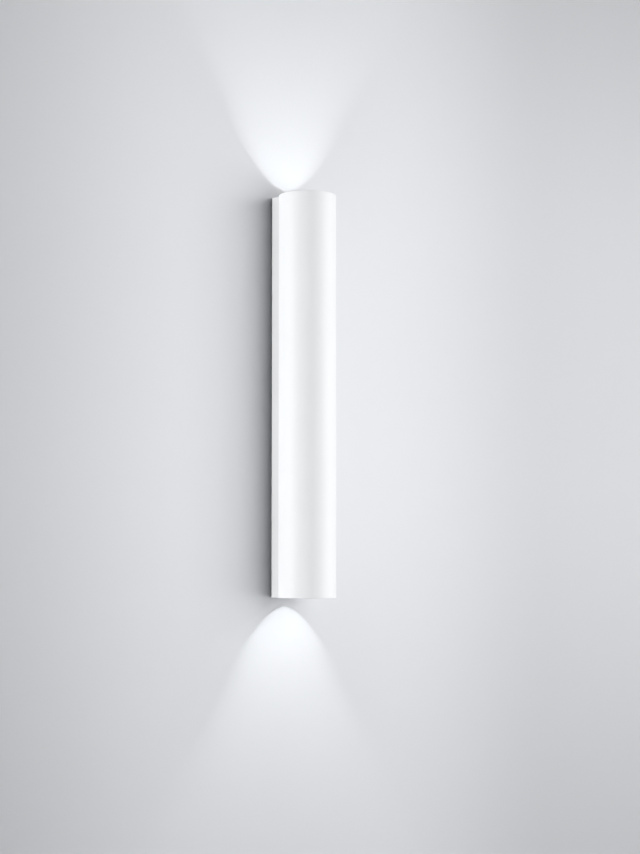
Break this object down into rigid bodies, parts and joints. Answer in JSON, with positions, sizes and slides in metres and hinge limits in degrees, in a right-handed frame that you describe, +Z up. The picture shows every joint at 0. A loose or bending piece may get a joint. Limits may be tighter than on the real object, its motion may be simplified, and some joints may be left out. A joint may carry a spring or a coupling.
{
  "type": "tube wall light",
  "caption": "Round white tube wall light on a narrow rear spine, throwing a fan of light up and another down the wall; it hooks onto a slotted wall bracket.",
  "frame": {"origin": "on the wall plane, at the centre of the bracket's two screw slots, level with the middle of the tube", "axes": "+Z up along the tube, +Y into the wall, +X to the right seen from the front"},
  "size_m": [0.057, 0.063, 0.4],
  "materials": {
    "white_coat": "matte",
    "zinc_steel": "satin",
    "bright_steel": "satin",
    "brass": "satin",
    "black_rubber": "matte",
    "white_plastic": "matte",
    "grey_plastic": "matte",
    "green_insulation": "satin",
    "white_insulation": "satin",
    "raw_aluminium": "satin",
    "bright_aluminium": "polished",
    "white_board": "satin",
    "phosphor": "matte",
    "black_anodised": "matte",
    "clear_silicone": "satin",
    "clear_glass": "gloss"
  },
  "bodies": {
    "wall_mount": {"wall_bracket": "zinc_steel", "cable_bush": "black_rubber"},
    "lamp": {"tube_body": "white_coat", "rear_spine": "white_coat", "hanging_stud": "bright_steel", "body_screws": "bright_steel", "locking_bush": "brass", "locking_screw": "bright_steel", "driver_tray": "zinc_steel", "tray_screws": "bright_steel", "led_driver": "white_plastic", "driver_screws": "bright_steel", "terminal_block": "grey_plastic", "terminal_screws": "bright_steel", "cable_clamp": "grey_plastic", "clamp_screws": "bright_steel", "earth_screw": "brass", "earth_lead": "green_insulation", "supply_leads": "white_insulation", "upper_spine_plug": "white_plastic", "upper_heat_sink": "raw_aluminium", "upper_led_board": "white_board", "upper_led_phosphor": "phosphor", "upper_led_holder": "white_plastic", "upper_holder_screws": "bright_steel", "upper_reflector": "bright_aluminium", "upper_optic_cup": "black_anodised", "upper_cup_screws": "bright_steel", "upper_gasket": "clear_silicone", "upper_glass": "clear_glass", "upper_led_lead": "white_insulation", "lower_spine_plug": "white_plastic", "lower_heat_sink": "raw_aluminium", "lower_led_board": "white_board", "lower_led_phosphor": "phosphor", "lower_led_holder": "white_plastic", "lower_holder_screws": "bright_steel", "lower_reflector": "bright_aluminium", "lower_optic_cup": "black_anodised", "lower_cup_screws": "bright_steel", "lower_gasket": "clear_silicone", "lower_glass": "clear_glass", "lower_led_lead": "white_insulation"},
    "upper_ring": {"upper_trim_ring": "black_anodised"},
    "lower_ring": {"lower_trim_ring": "black_anodised"}
  },
  "joints": [
    {"name": "lift_off", "type": "slide", "parent": "wall_mount", "child": "lamp", "axis": [0, 0, 1], "range_m": [0, 0.012]},
    {"name": "upper_ring_twist", "type": "hinge", "parent": "lamp", "child": "upper_ring", "pos_m": [0, -0.0345, 0.19], "axis": [0, 0, 1], "range_deg": [0, 20]},
    {"name": "lower_ring_twist", "type": "hinge", "parent": "lamp", "child": "lower_ring", "pos_m": [0, -0.0345, -0.19], "axis": [0, 0, -1], "range_deg": [0, 20]}
  ]
}
